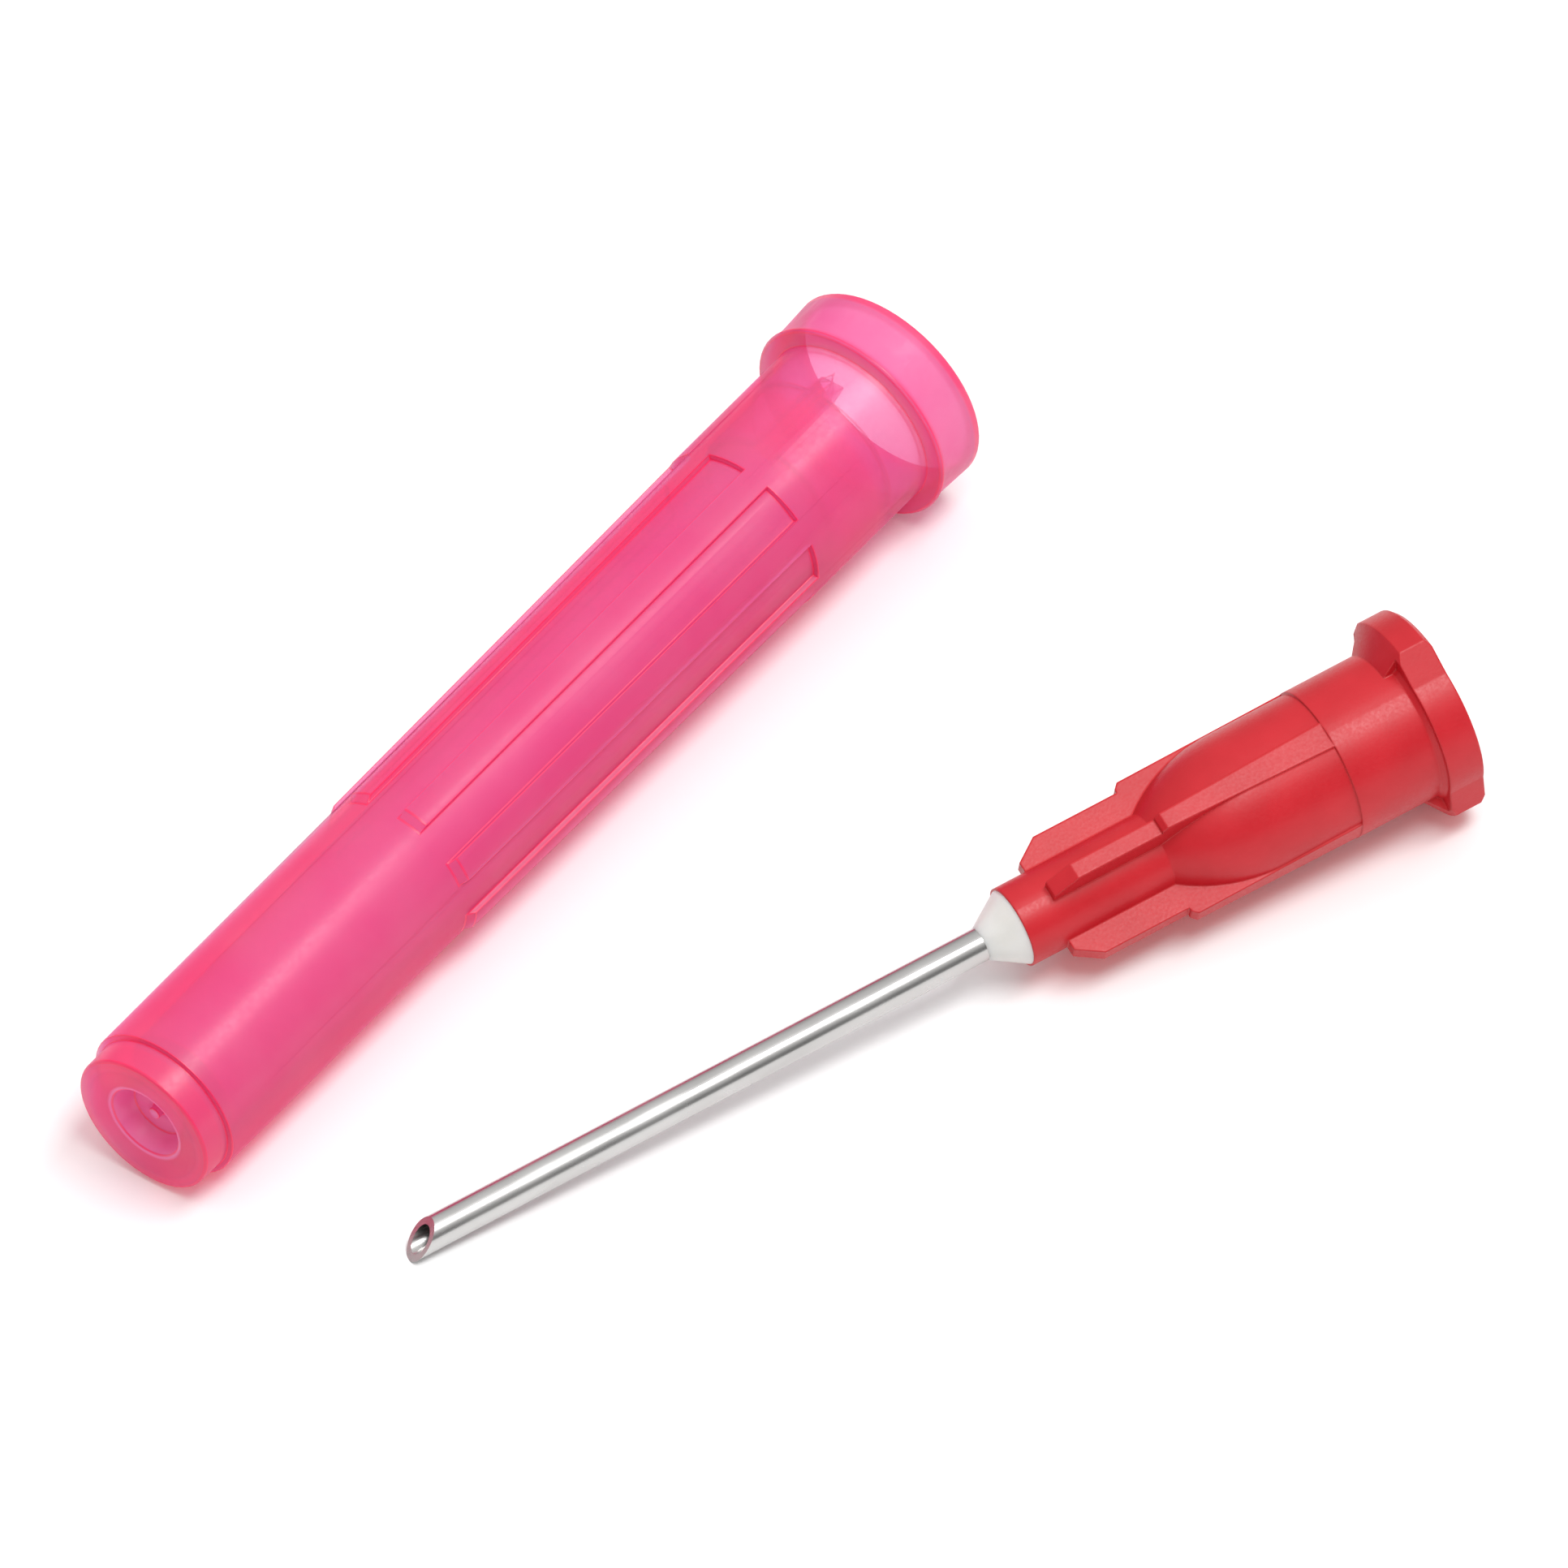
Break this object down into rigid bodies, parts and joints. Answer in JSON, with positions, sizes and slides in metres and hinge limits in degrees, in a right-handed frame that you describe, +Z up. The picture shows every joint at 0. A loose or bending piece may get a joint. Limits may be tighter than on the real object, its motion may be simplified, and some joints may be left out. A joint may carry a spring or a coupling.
{
  "type": "blunt fill needle",
  "caption": "Blunt fill needle: slant-cut steel tube bedded in a finned moulded hub with a conical locking socket, its ribbed tubular shield lying beside it.",
  "frame": {"origin": "on the surface that the pieces lie on, under the middle of their bounding box", "axes": "+Z up from the surface; +X along the shield in plan, from its closed end to its open mouth; the needle lies on the -Y side, its tip towards -X and its hub towards +X, turned 22.4 degrees from +X towards -Y"},
  "size_m": [0.0442, 0.0338, 0.0085],
  "materials": {
    "hub": "red polypropylene, semi-gloss, a little see-through, with fine spark texture on the fins",
    "cannula": "drawn stainless steel tube, bright, with a slant-cut tip",
    "adhesive": "cured off-white epoxy, smooth",
    "needle_cap": "pink polypropylene, thin and see-through to light, glossy"
  },
  "bodies": {
    "root": {"hub": "hub", "cannula": "cannula", "adhesive": "adhesive", "needle_cap": "needle_cap"}
  },
  "joints": []
}
